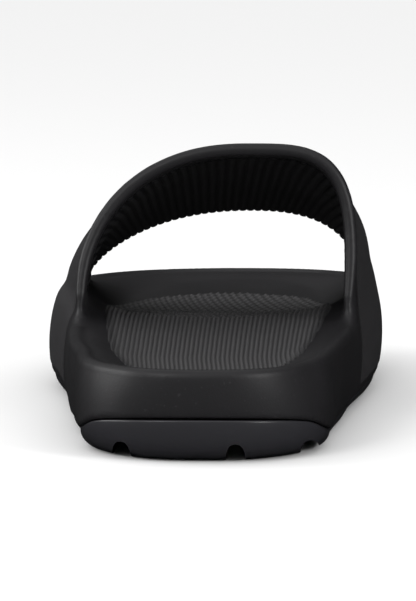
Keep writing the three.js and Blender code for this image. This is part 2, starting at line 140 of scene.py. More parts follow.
class SlideSoleSizes(bpy.types.PropertyGroup):
    """Sizes of the footbed, wall, rim and outsole."""

    length: length_prop("Length", "Heel to toe at the lip", 290)
    ball_width: length_prop("Ball width", "Across the ball of the foot at the lip", 110.5)
    lip_height: length_prop("Lip height", "Floor to the lip at the back of the heel", 13.5)
    rim_height: length_prop("Rim height", "Floor to the rim at the ball", 33.6)
    bed_height: length_prop("Footbed height", "Floor to the crest of the footbed", 28.5)
    toe_spring: length_prop("Toe spring", "Rise of the tread at the toe", 8.5)
    outsole_thickness: length_prop("Outsole thickness", "Thickness away from the edge", 4.6)
    wall_lean: length_prop("Wall lean", "How far the wall leans out at the rim", 2.6)
    wall_bulge: length_prop("Wall bulge", "How far the wall swells at mid height", 1.5)
    lip_step: length_prop("Lip step", "How far the outsole steps in under the wall", 1)
    lip_ledge: length_prop("Lip ledge", "How far the outsole stands proud behind the heel", 1.2)
    lip_round: length_prop("Lip rounding", "Radius of the foam's lower edge", 0.8)
    rim_round: length_prop("Rim rounding", "Radius of the rim's outer edge", 2.7)
    rim_thickness: length_prop("Rim thickness", "Width of the rim's crown", 5.5)
    rim_drop: length_prop("Rim drop", "Fall of the crown towards the cup", 0.9)
    cup_width: length_prop("Cup width", "Width of the slope from rim to footbed", 16)
    bed_dish: length_prop("Footbed dish", "Rise of the footbed at its sides", 1.8)
    arch_lift: length_prop("Arch lift", "Rise of the footbed under the arch", 2.6)
    heel_radius: length_prop("Heel radius", "Length of the round end of the heel", 44)
    toe_radius: length_prop("Toe radius", "Length of the round end of the toe", 80)
    seam_reach: length_prop("Seam reach", "Width over which the outsole thins", 18)
    edge_round: length_prop("Edge rounding", "Width of the tread's rounded edge", 5)
    clearance: length_prop("Clearance", "Gap between foam and outsole", 0.3)
    channel_width: length_prop("Channel width", "Width of the long channels", 6)
    channel_depth: length_prop("Channel depth", "Depth of the long channels", 3.2)
    channel_mouth: length_prop("Channel mouth", "Extra depth behind the heel", 2.6)
    cross_width: length_prop("Cross channel width", "Width of the cross channels", 4)
    cross_depth: length_prop("Cross channel depth", "Depth of the cross channels", 2.4)
    cross_bow: length_prop("Cross channel bow", "Sweep of the cross channels", 9)


class SlideStrapSizes(bpy.types.PropertyGroup):
    """Sizes of the strap and of the ribs on it and under it."""

    height: length_prop("Strap height", "Floor to the strap's inside at its rear edge", 83)
    thickness: length_prop("Strap thickness", "Thickness at the top", 4.2)
    rear_base: length_prop("Rear base", "Heel to the rear edge at the rim", 112)
    rear_top: length_prop("Rear top", "Heel to the rear edge at the top", 128)
    front_top: length_prop("Front top", "Heel to the front edge at the top", 204)
    front_outer: length_prop("Front outer base", "Heel to the outer front edge at the rim", 222)
    front_inner: length_prop("Front inner base", "Heel to the inner front edge at the rim", 206)
    bead_rise: length_prop("Bead rise", "Depth of the valley beside the edge beads", 0.9)
    flank_swell: length_prop("Flank swell", "Swell of the panel on each flank", 1.8)
    root_inset: length_prop("Root inset", "Setback of the strap's root in the rim", 0.4)
    root_depth: length_prop("Root depth", "How far the strap's root is sunk", 6)
    panel_rise: length_prop("Panel rise", "How far the hatched panel stands out", 0.3)
    hatch_pitch: length_prop("Hatch pitch", "Spacing of the panel's fine hatch", 1.5)
    rib_pitch: length_prop("Inner rib pitch", "Spacing of the ribs inside the strap", 3.05)
    rib_height: length_prop("Inner rib height", "Height of the ribs inside the strap", 0.5)


class SlideFootbedSizes(bpy.types.PropertyGroup):
    """Sizes of the fine ribs pressed into the footbed."""

    rib_pitch: length_prop("Rib pitch", "Spacing of the ribs at the heel", 1.45)
    rib_height: length_prop("Rib height", "Height of the ribs at the heel", 0.65)
    crest: length_prop("Crest", "Heel to where the ribs turn to diamonds", 137)
    crest_outer: length_prop("Outer crest bow", "Sweep of that line towards the outer side", 75)
    crest_inner: length_prop("Inner crest bow", "Sweep of that line towards the inner side", 36)
    diamond_width: length_prop("Diamond width", "Spacing of the diamonds across the foot", 2.4)
    diamond_length: length_prop("Diamond length", "Spacing of the diamonds along the foot", 11)
    diamond_height: length_prop("Diamond height", "Height of the first diamonds past the crest", 1.1)


class SlideFinish(bpy.types.PropertyGroup):
    """Colours of the foam, the outsole and the floor, with painted light and painted shade in the footbed's
    and the lining's colours.
    """

    foam: colour_prop("Foam", "Near-black moulded foam", (0.0105, 0.0101, 0.0113))
    # Dust colour, also used as painted light on the hatch lines of the flank panels.
    foam_dust_and_light: colour_prop("Dusted foam", "Foam where fine dust greys it", (0.040, 0.038, 0.041))
    # Painted light: the footbed is the same foam as the body, and this lighter colour stands in for the
    # light its upward face catches.
    bed: colour_prop("Footbed", "Footbed foam, a little greyer", (0.052, 0.051, 0.0525))
    # Painted light and painted shade: the strap's inside is the same foam as the body; the rib tops are
    # painted lighter and the grooves painted darker.
    lining: colour_prop("Lining", "Rib tops inside the strap", (0.0160, 0.0158, 0.0165))
    lining_groove_shade: colour_prop("Lining grooves", "Shaded foam inside the strap", (0.0030, 0.0030, 0.0036))
    outsole: colour_prop("Outsole", "Bluish dark grey outsole", (0.0185, 0.0183, 0.0215))
    floor: colour_prop("Floor", "Pale studio floor", (0.75, 0.75, 0.75))


def curve(table, column):
    """A smooth curve through one column of a table, with no overshoot between rows."""
    x = np.array(table["along"])
    y = np.array(table[column])
    slopes = np.diff(y) / np.diff(x)
    product = slopes[:-1] * slopes[1:]
    total = slopes[:-1] + slopes[1:]
    inner = np.where(product > 0, 2 * product / np.where(total == 0, 1, total), 0)
    tangents = np.concatenate([slopes[:1], inner, slopes[-1:]])

    def value(along):
        at = np.clip(along, x[0], x[-1])
        k = np.clip(np.searchsorted(x, at, side="right") - 1, 0, len(x) - 2)
        step = x[k + 1] - x[k]
        t = (at - x[k]) / step
        bend = step * t * (1 - t) * ((1 - t) * tangents[k] - t * tangents[k + 1])
        return y[k] * (1 + 2 * t) * (1 - t) ** 2 + y[k + 1] * t * t * (3 - 2 * t) + bend

    return value


def lerp(a, b, t):
    return a + (b - a) * t


def ease(t):
    held = np.clip(t, 0, 1)
    return held * held * (3 - 2 * held)


class SlideForm:
    """The slide's surfaces as functions of y from the heel and of the side of the foot.

    The outer side is -1 and the inner side 1. On the strap, share runs over the arch from its
    outer to its inner root, and across runs from its rear to its front edge.
    """

    # The powers of the curves round the heel, round the toe and along the strap's edges.
    heel_power = 2.4
    toe_power = 2.35
    edge_sweep = 2.5
    # How much wider the outsole's rounded edge is for each height that its lip rises.
    edge_round_per_rise = 0.75
    # Shares of the strap's width, and of its girth, where its thickness changes.
    bead_share = 0.09
    root_share = 0.14
    flank_end = 0.36
    # How finely the curves are sampled.
    reach_stations, reach_levels = 2000, 21
    arch_samples = 160
    probe_share, probe_length = 0.01, 1 * MM

    def __init__(self, scene):
        self.sole = scene.slide_sole
        self.strap = scene.slide_strap
        self.footbed = scene.slide_footbed
        self.curves = {
            (name, column): curve(table, column)
            for name, table in (
                ("outline", OUTLINE), ("height", HEIGHTS), ("wall", WALL), ("arch", ARCH), ("field", FIELD),
            )
            for column in table if column != "along"
        }
        # The form's own frame has its origin on the floor, at the back of the heel's middle.
        self.shift = np.array([self.find_middle(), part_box("outsole")[0].y, 0.0])

    def find_middle(self):
        """The x of the heel's middle, from the middle of the solids' box and the walls' reach."""
        y = np.linspace(0, self.sole.length, self.reach_stations)
        middle = (self.outer_reach(y, -1).min() + self.outer_reach(y, 1).max()) / 2
        low, high = (Vector(corner) for corner in CAD_BOX)
        return (low.x + high.x) / 2 - middle

    def get(self, name, column, y):
        return self.curves[name, column](np.asarray(y) / self.sole.length)

    def centre(self, y):
        return self.get("outline", "centre", y) * self.sole.ball_width

    def full_half(self, y):
        return self.get("outline", "half", y) * self.sole.ball_width

    def half_width(self, y):
        sole = self.sole
        from_heel = np.clip(1 - y / sole.heel_radius, 0, 1)
        from_toe = np.clip(1 - (sole.length - y) / sole.toe_radius, 0, 1)
        heel = (1 - from_heel ** self.heel_power) ** (1 / self.heel_power)
        toe = (1 - from_toe ** self.toe_power) ** (1 / self.toe_power)
        return self.full_half(y) * heel * toe

    def sided(self, name, y, side, size):
        """A size of the wall that differs between the outer and the inner side."""
        outer = self.get("wall", name + "_outer", y)
        inner = self.get("wall", name + "_inner", y)
        return np.where(side < 0, outer, inner) * size

    def lean(self, y, side):
        return self.sided("lean", y, side, self.sole.wall_lean)

    def rim_curve(self, y, side):
        return self.sided("round", y, side, self.sole.rim_round)

    def rim_width(self, y):
        return self.get("wall", "rim", y) * self.sole.rim_thickness

    def wall_out(self, y, side, up):
        """How far the wall stands out of the outline, where up is a share of its height."""
        bulge = self.get("wall", "bulge", y) * self.sole.wall_bulge
        return self.lean(y, side) * up + bulge * 4 * up * (1 - up)

    def outer_reach(self, y, side):
        """The wall's furthest reach in x over its height."""
        out = self.wall_out(y, side, np.linspace(0, 1, self.reach_levels)[:, None])
        return self.centre(y) + side * (self.half_width(y) + out.max(axis=0))

    def lip(self, y):
        return self.get("height", "lip", y) * self.sole.lip_height

    def rim(self, y):
        return self.get("height", "rim", y) * self.sole.rim_height

    def tread(self, y):
        return self.get("height", "tread", y) * self.sole.toe_spring

    def bed_at(self, x, y):
        across = (x - self.centre(y)) / self.full_half(y)
        inner = np.maximum(0, across)
        dish = self.get("wall", "dish", y) * self.sole.bed_dish * across * across
        lift = self.get("wall", "arch", y) * self.sole.arch_lift * inner * inner
        return self.get("height", "bed", y) * self.sole.bed_height + dish + lift

    def step_in(self, y):
        return self.sole.lip_step * ease(y / self.sole.heel_radius)

    def seam_distance(self, y, distance):
        return np.maximum(distance, self.step_in(y))

    def seam_height(self, y, distance):
        flat = self.tread(y) + self.sole.outsole_thickness
        share = self.seam_distance(y, distance) / self.sole.seam_reach
        return lerp(self.lip(y), flat, ease(share))

    def inside(self, y, side, distance):
        """The point a distance inside the outline, towards the spine."""
        edge_x = self.centre(y) + side * self.half_width(y)
        spine_y = np.clip(y, self.sole.heel_radius, self.sole.length - self.sole.toe_radius)
        dx = self.centre(spine_y) - edge_x
        dy = spine_y - y
        scale = distance / np.maximum(np.hypot(dx, dy), 1e-9)
        return edge_x + dx * scale, y + dy * scale

    def strap_inner(self, share, y):
        """Points on the arch under the strap, share of the way round it at each y."""
        share, y = np.broadcast_arrays(np.asarray(share, float), np.asarray(y, float))
        flat_share, flat_y = share.ravel(), y.ravel()
        roots = [
            self.centre(flat_y) + side * (
                self.half_width(flat_y) + self.lean(flat_y, side) - self.rim_curve(flat_y, side)
                - self.rim_width(flat_y) + self.strap.root_inset
            )
            for side in (-1, 1)
        ]
        base = self.rim(flat_y) - self.sole.rim_drop
        rise = self.get("arch", "height", flat_y) * self.strap.height - base
        peak = self.get("arch", "peak", flat_y) * self.sole.ball_width
        angle = np.linspace(0, math.pi, self.arch_samples + 1)[None, :]
        on_outer = angle < math.pi / 2
        outer = self.get("arch", "outer", flat_y)[:, None]
        inner = self.get("arch", "inner", flat_y)[:, None]
        power = 2 / np.where(on_outer, outer, inner)
        root = np.where(on_outer, roots[0][:, None], roots[1][:, None])
        x = lerp(peak[:, None], root, np.abs(np.cos(angle)) ** power)
        z = base[:, None] + rise[:, None] * np.abs(np.sin(angle)) ** power
        lengths = np.cumsum(np.hypot(np.diff(x), np.diff(z)), axis=1)
        lengths = np.concatenate([np.zeros((len(flat_y), 1)), lengths], axis=1)
        target = flat_share * lengths[:, -1]
        k = np.clip((lengths < target[:, None]).sum(axis=1), 1, self.arch_samples)
        rows = np.arange(len(flat_y))
        before, after = lengths[rows, k - 1], lengths[rows, k]
        t = (target - before) / (after - before)
        points = np.stack([
            lerp(x[rows, k - 1], x[rows, k], t), flat_y, lerp(z[rows, k - 1], z[rows, k], t),
        ], axis=-1)
        return points.reshape(share.shape + (3,))

    def strap_frame(self, share, y):
        """Points under the strap, with the way to the toe and the way out of its face."""
        after = self.strap_inner(np.minimum(1, share + self.probe_share), y)
        before = self.strap_inner(np.maximum(0, share - self.probe_share), y)
        step = self.probe_length
        forward = self.strap_inner(share, y + step) - self.strap_inner(share, y - step)
        forward /= np.linalg.norm(forward, axis=-1, keepdims=True)
        out = np.cross(after - before, forward)
        out /= np.linalg.norm(out, axis=-1, keepdims=True)
        return self.strap_inner(share, y), forward, out

    def strap_y(self, share, across):
        strap = self.strap
        fade = 1 - np.abs(2 * share - 1) ** self.edge_sweep
        rear = lerp(strap.rear_base, strap.rear_top, fade)
        base = np.where(share < 0.5, strap.front_outer, strap.front_inner)
        return lerp(rear, lerp(base, strap.front_top, fade), across)

    def strap_wall(self, share, y, across):
        strap = self.strap
        from_root = np.minimum(share, 1 - share)
        from_edge = np.minimum(across, 1 - across)
        leaving = ease(from_root / self.root_share)
        root_wall = self.rim_width(y) - 2 * strap.root_inset
        valley = ease(from_edge / self.bead_share) * strap.bead_rise * leaving
        ended = ease((from_root - self.root_share) / (self.flank_end - self.root_share))
        swell = ease((from_edge - self.bead_share / 2) / (0.5 - self.bead_share))
        panel = strap.flank_swell * leaving * (1 - ended) * swell
        return lerp(root_wall, strap.thickness, leaving) - valley + panel

    def framed(self, points):
        """Points from the form's own frame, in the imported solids' frame."""
        return np.asarray(points, float).reshape(-1, 3) + self.shift


def new_body(form, name, points, faces):
    """A closed mesh through points in the form's own frame, with its faces turned outwards."""
    mesh = bpy.data.meshes.new(name)
    mesh.from_pydata([tuple(p) for p in form.framed(points)], [], [tuple(f) for f in faces])
    mesh.validate()
    mesh.update()
    made = bpy.data.objects.new(name, mesh)
    bpy.context.scene.collection.objects.link(made)
    bpy.context.view_layer.objects.active = made
    bpy.ops.object.mode_set(mode="EDIT")
    bpy.ops.mesh.select_all(action="SELECT")
    bpy.ops.mesh.normals_make_consistent(inside=False)
    bpy.ops.object.mode_set(mode="OBJECT")
    return made


def grid_faces(rows, columns, first=0, wrap=False):
    """Quads over a grid of points, and round it where it wraps in its columns."""
    r = np.arange(rows - 1)[:, None]
    c = np.arange(columns if wrap else columns - 1)[None, :]
    after = (c + 1) % columns
    a, b = r * columns + c, r * columns + after
    quads = np.stack([a, b, b + columns, a + columns], axis=-1)
    return (quads.reshape(-1, 4) + first).tolist()


def new_tube(form, name, points):
    """A closed body through loops of points, with a face over each end."""
    rows, columns = points.shape[:2]
    faces = grid_faces(rows, columns, wrap=True)
    faces += [list(range(columns)), list(range((rows - 1) * columns, rows * columns))]
    return new_body(form, name, points, faces)


def join_doubles(target):
    """Joins points in one place, and drops the faces that this leaves without area."""
    work = bmesh.new()
    work.from_mesh(target.data)
    bmesh.ops.remove_doubles(work, verts=work.verts, dist=1e-6)
    work.to_mesh(target.data)
    work.free()
    target.data.validate()


def apply_modifier(target, name, kind, **settings):
    made = target.modifiers.new(name, kind)
    for key, value in settings.items():
        setattr(made, key, value)
    bpy.context.view_layer.objects.active = target
    bpy.ops.object.modifier_apply(modifier=made.name)


def remove(target):
    mesh = target.data
    bpy.data.objects.remove(target)
    bpy.data.meshes.remove(mesh)


def read_points(target):
    points = np.zeros(len(target.data.vertices) * 3)
    target.data.vertices.foreach_get("co", points)
    return points.reshape(-1, 3)


def write_points(target, points):
    target.data.vertices.foreach_set("co", np.asarray(points, float).ravel())
    target.data.update()


def relax_points(target, weights, rounds, steps):
    """Moves each point towards its neighbours' mean, by each step's share times its own weight."""
    mesh = target.data
    edges = np.zeros(len(mesh.edges) * 2, int)
    mesh.edges.foreach_get("vertices", edges)
    a, b = edges.reshape(-1, 2).T
    points = read_points(target)
    count = np.bincount(np.concatenate([a, b]), minlength=len(points)).astype(float)
    for step in steps * rounds:
        total = np.zeros_like(points)
        for axis in range(3):
            total[:, axis] += np.bincount(a, points[b, axis], len(points))
            total[:, axis] += np.bincount(b, points[a, axis], len(points))
        points += (total / count[:, None] - points) * weights[:, None] * step
    write_points(target, points)


def melt(target, weights, rounds):
    """Rounds creases off, where the weights are near 1."""
    relax_points(target, weights, rounds, (0.5,))


def even_out(target, rounds):
    """Takes the remesh's fine steps off. Each second step undoes the shrinking of the first."""
    relax_points(target, np.ones(len(target.data.vertices)), rounds, (0.5, -0.53))


def settle_on(target, tree, weights):
    """Moves each point onto the nearest face of a form, by its own weight."""
    points = read_points(target)
    nearest = np.array([tree.find_nearest(point)[0] for point in points])
    write_points(target, points + (nearest - points) * weights[:, None])


def add_mask(target, name, values):
    """Stores a mask for the first points of a mesh, and 0 for the others."""
    mask = np.zeros(len(target.data.vertices), np.float32)
    mask[:values.size] = np.clip(values, 0, 1).ravel()
    target.data.attributes.new(name, "FLOAT", "POINT").data.foreach_set("value", mask)


def finish_piece(target, material, node):
    target.data.polygons.foreach_set("use_smooth", [True] * len(target.data.polygons))
    target.data.materials.clear()
    target.data.materials.append(material)
    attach(target, "root")
    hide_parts(node)


class RingMesh:
    """Points and faces of a closed body made of rings round the sole."""

    def __init__(self, form):
        self.form = form
        sole = form.sole
        third = RING_POINTS // 3 + 1
        quarter = np.linspace(0, math.pi / 2, third)
        toe_start = sole.length - sole.toe_radius
        stations = np.concatenate([
            sole.heel_radius * (1 - np.cos(quarter[:-1])),
            np.linspace(sole.heel_radius, toe_start, third)[:-1],
            toe_start + sole.toe_radius * np.sin(quarter),
        ])
        self.last = len(stations) - 1
        self.y = np.concatenate([stations, stations[-2:0:-1]])
        self.side = np.where(np.arange(len(self.y)) <= self.last, -1, 1)
        self.rings = []

    def add(self, distance, rise):
        x, y = self.form.inside(self.y, self.side, distance)
        z = rise(x, y) if callable(rise) else rise
        self.rings.append(np.stack([x, y, np.broadcast_to(z, x.shape)], axis=-1))

    def points_across(self, ring, rise):
        """The points that close a ring, in rows from its outer to its inner side."""
        shares = np.arange(1, ACROSS_FACES) / ACROSS_FACES
        left, right = ring[1:self.last], ring[:self.last:-1]
        inner = lerp(left[:, None, :2], right[:, None, :2], shares[None, :, None])
        x, y = inner[..., 0], inner[..., 1]
        return np.stack([x, y, rise(x, y)], axis=-1).reshape(-1, 3)

    def faces_across(self, first_ring, first_inner):
        """The faces that close a ring. The rows at its two ends shrink to one point."""
        last, around = self.last, len(self.y)

        def index(k, c):
            if k in (0, last) or c == 0:
                return first_ring + k
            if c == ACROSS_FACES:
                return first_ring + around - k
            return first_inner + (k - 1) * (ACROSS_FACES - 1) + c - 1

        faces = []
        for k in range(last):
            for c in range(ACROSS_FACES):
                corners = [index(k, c), index(k, c + 1), index(k + 1, c + 1), index(k + 1, c)]
                faces.append([v for i, v in enumerate(corners) if v != corners[i - 1]])
        return faces

    def build(self, name, low_rise, high_rise):
        """The closed body, where the two rises give the heights inside its first and last ring."""
        around = len(self.y)
        points = np.concatenate(self.rings)
        faces = grid_faces(len(self.rings), around, wrap=True)
        top = (len(self.rings) - 1) * around
        for ring, first, rise in ((self.rings[0], 0, low_rise), (self.rings[-1], top, high_rise)):
            faces += self.faces_across(first, len(points))
            points = np.concatenate([points, self.points_across(ring, rise)])
        return new_body(self.form, name, points, faces)


def make_sole(form):
    """The foam below the strap, at full resolution."""
    sole = form.sole
    rings = RingMesh(form)
    y, side = rings.y, rings.side
    base = form.lip(y) + sole.clearance
    lean, curve_in, rim = form.lean(y, side), form.rim_curve(y, side), form.rim(y)
    wall = rim - curve_in - base
    seam_insets = (22, 18, 15, 12, 9, 7, 5, 3, 2)
    round_rings, wall_rings, cup_rings = 7, 22, 20
    for distance in np.array(seam_insets) * MM:
        rings.add(form.seam_distance(y, distance), form.seam_height(y, distance) + sole.clearance)
    for angle in np.linspace(0, math.pi / 2, round_rings):
        rise = sole.lip_round * (1 - math.cos(angle))
        rings.add(sole.lip_round * (1 - math.sin(angle)) - form.wall_out(y, side, rise / wall), base + rise)
    for share in np.linspace(0, 1, wall_rings)[1:]:
        up = lerp(sole.lip_round / wall, 1, share)
        rings.add(-form.wall_out(y, side, up), base + wall * up)
    for angle in np.linspace(0, math.pi / 2, round_rings)[1:-1]:
        rings.add(curve_in * (1 - math.cos(angle)) - lean, rim - curve_in * (1 - math.sin(angle)))
    width = form.rim_width(y)
    for share in np.linspace(0, 1, round_rings):
        rings.add(curve_in - lean + width * share, rim - sole.rim_drop * share * share)
    cup = form.get("wall", "cup", y) * sole.cup_width
    for share in np.linspace(0, 1, cup_rings)[1:]:
        rings.add(
            curve_in - lean + width + cup * share,
            lambda px, py, fall=ease(share): lerp(rim - sole.rim_drop, form.bed_at(px, py), fall),
        )
    return rings.build(
        "sole_form", lambda px, py: form.seam_height(py, SEAM_END) + sole.clearance, form.bed_at
    )


def make_strap(form):
    """The strap as one closed loft, with its roots sunk in the rim."""
    bead_end, flush_end, edge = 0.12, 0.10, 0.02
    bead_points, middle_points, turn_points, loops = 12, 34, 9, 321
    across = np.concatenate([
        np.linspace(0, bead_end, bead_points),
        np.linspace(bead_end, 1 - bead_end, middle_points)[1:-1],
        np.linspace(1 - bead_end, 1, bead_points),
    ])
    turn = np.linspace(0, math.pi, turn_points)[1:-1]
    shares = np.linspace(0, 1, loops)
    out_depth = (1 + np.cos(turn)) / 2
    loop_across = np.concatenate([across, np.ones_like(turn), across[::-1], np.zeros_like(turn)])
    depth = np.concatenate([np.ones_like(across), out_depth, np.zeros_like(across), out_depth[::-1]])
    push = np.concatenate([0 * across, np.sin(turn) / 2, 0 * across, -np.sin(turn) / 2])
    share, side_across = np.meshgrid(shares, loop_across, indexing="ij")
    y = form.strap_y(share, side_across)
    at, forward, out = form.strap_frame(share, y)
    # On the inner side of the foot the strap's face runs down into the wall with no shoulder.
    on_face = (side_across > edge) & (side_across < 1 - edge)
    flush = form.rim_curve(y, 1) * (1 - ease((1 - share) / flush_end)) * on_face
    thick = form.strap_wall(share, y, side_across) + flush
    points = at + out * (thick * depth)[..., None] + forward * (thick * push)[..., None]
    sink = np.array([0, 0, form.strap.root_depth])
    return new_tube(form, "strap_form", np.concatenate([points[:1] - sink, points, points[-1:] - sink]))


def panel_mask(form, points):
    """1 on the hatched panel, which covers the strap between its beads and runs down to the lip."""
    panel_start, panel_end, side_blend = 0.10, 0.865, 0.035
    strap_reach, rim_band, wall_depth = 2.2 * MM, 1 * MM, 5 * MM
    lip_gap, lip_blend = 2.4 * MM, 1.2 * MM
    share_samples, across_samples = 161, 61
    shares, across = np.linspace(0, 1, share_samples), np.linspace(0, 1, across_samples)
    grid_share, grid_across = [values.ravel() for values in np.meshgrid(shares, across, indexing="ij")]
    grid_y = form.strap_y(grid_share, grid_across)
    at, _, out = form.strap_frame(grid_share, grid_y)
    outer = at + out * form.strap_wall(grid_share, grid_y, grid_across)[:, None]
    tree = KDTree(len(outer))
    for index, point in enumerate(outer):
        tree.insert(point, index)
    tree.balance()
    local = points - form.shift
    x, y, z = local.T
    found = [tree.find(point)[1:] for point in local]
    index = np.array([entry[0] for entry in found])
    far = np.array([entry[1] for entry in found])
    above = z > form.rim(y) - rim_band
    on_strap = above & (far < strap_reach)
    front = np.where(x < 0, form.strap.front_outer, form.strap.front_inner)
    wall_across = (y - form.strap.rear_base) / (front - form.strap.rear_base)
    edge = form.half_width(np.clip(y, 0, form.sole.length)) - wall_depth
    on_wall = ~above & (np.abs(x - form.centre(y)) > edge)
    place = np.where(on_strap, grid_across[index], wall_across)
    mask = ease((place - panel_start) / side_blend) * (1 - ease((place - panel_end) / side_blend))
    return mask * (on_strap | on_wall) * ease((z - form.lip(y) - lip_gap) / lip_blend)


class SLIDE_OT_body(bpy.types.Operator):
    """Moulds the footbed, wall, rim and strap as one piece of foam"""

    bl_idname = "slide.body"
    bl_label = "Moulded body"

    voxel = 1.1 * MM
    even_rounds = 4
    melt_rounds = 26
    # The junction: how far it reaches up and down, behind and before the strap, and into the cup.
    junction_rise = 9 * MM
    junction_behind = 14 * MM
    junction_ahead = 12 * MM
    junction_blend = 8 * MM
    junction_off = 0.6
    junction_off_blend = 0.1
    # Points that flow by more than a third of the full amount aren't settled on the form again.
    settle_slope = 3

    def junction(self, form, points):
        """Near 1 where the strap's roots flow into the rim."""
        x, y, z = (points - form.shift).T
        low = form.strap.rear_base - self.junction_behind
        high = form.strap.front_outer + self.junction_ahead
        along = ease((y - low) / self.junction_blend) * (1 - ease((y - high) / self.junction_blend))
        off = np.abs(x - form.centre(y)) / form.full_half(y)
        beside = ease((off - self.junction_off) / self.junction_off_blend)
        return (1 - ease(np.abs(z - form.rim(y)) / self.junction_rise)) * along * beside

    def execute(self, context):
        form = SlideForm(context.scene)
        body, strap = make_sole(form), make_strap(form)
        apply_modifier(body, "Join", "BOOLEAN", operation="UNION", solver="EXACT", object=strap)
        remove(strap)
        tree = BVHTree.FromObject(body, context.evaluated_depsgraph_get())
        apply_modifier(body, "Remesh", "REMESH", mode="VOXEL", voxel_size=self.voxel, adaptivity=0)
        even_out(body, self.even_rounds)
        near = self.junction(form, read_points(body))
        melt(body, near, self.melt_rounds)
        settle_on(body, tree, np.clip(1 - self.settle_slope * near, 0, 1))
        mask = panel_mask(form, read_points(body))
        normals = np.zeros(len(mask) * 3)
        body.data.vertices.foreach_get("normal", normals)
        rise = form.strap.panel_rise * mask[:, None] * normals.reshape(-1, 3)
        write_points(body, read_points(body) + rise)
        body.name = "foam_body"
        add_mask(body, "hatch", mask)
        material = foam_material(context, "moulded_foam", context.scene.slide_finish.foam, hatched=True)
        finish_piece(body, material, "moulded_body")
        return {"FINISHED"}


def slab(form, name, top, out, depth, coarse):
    """A thin closed slab with the grid top as its upper face, and a coarse back depth below it.

    coarse gives how many rows and columns of the top one face of the back spans.
    """
    rows, columns = top.shape[:2]
    points = top.reshape(-1, 3)
    faces = grid_faces(rows, columns)
    step_r, step_c = coarse
    back = (top - out * depth)[::step_r, ::step_c]
    back_rows, back_columns = back.shape[:2]
    count = len(points)
    faces += [list(reversed(face)) for face in grid_faces(back_rows, back_columns, count)]
    grid = np.arange(count).reshape(rows, columns)
    low = np.arange(back_rows * back_columns).reshape(back_rows, back_columns) + count
    for fine, under, step in (
        (grid[0], low[0], step_c), (grid[-1, ::-1], low[-1, ::-1], step_c),
        (grid[::-1, 0], low[::-1, 0], step_r), (grid[:, -1], low[:, -1], step_r),
    ):
        for k in range(len(under) - 1):
            run = fine[k * step:(k + 1) * step + 1]
            faces.append([*run[::-1].tolist(), int(under[k]), int(under[k + 1])])
    return new_body(form, name, np.concatenate([points, back.reshape(-1, 3)]), faces)


def surface_heights(form, x, y):
    """The height of the bare footbed and cup under each place."""
    headroom = 2 * MM
    bare = make_sole(form)
    tree = BVHTree.FromObject(bare, bpy.context.evaluated_depsgraph_get())
    remove(bare)
    starts = form.framed(np.stack([x, y, form.rim(y) + headroom], axis=-1))
    found = [tree.ray_cast(start, (0, 0, -1))[0] for start in starts]
    return np.array([place.z for place in found]).reshape(x.shape)


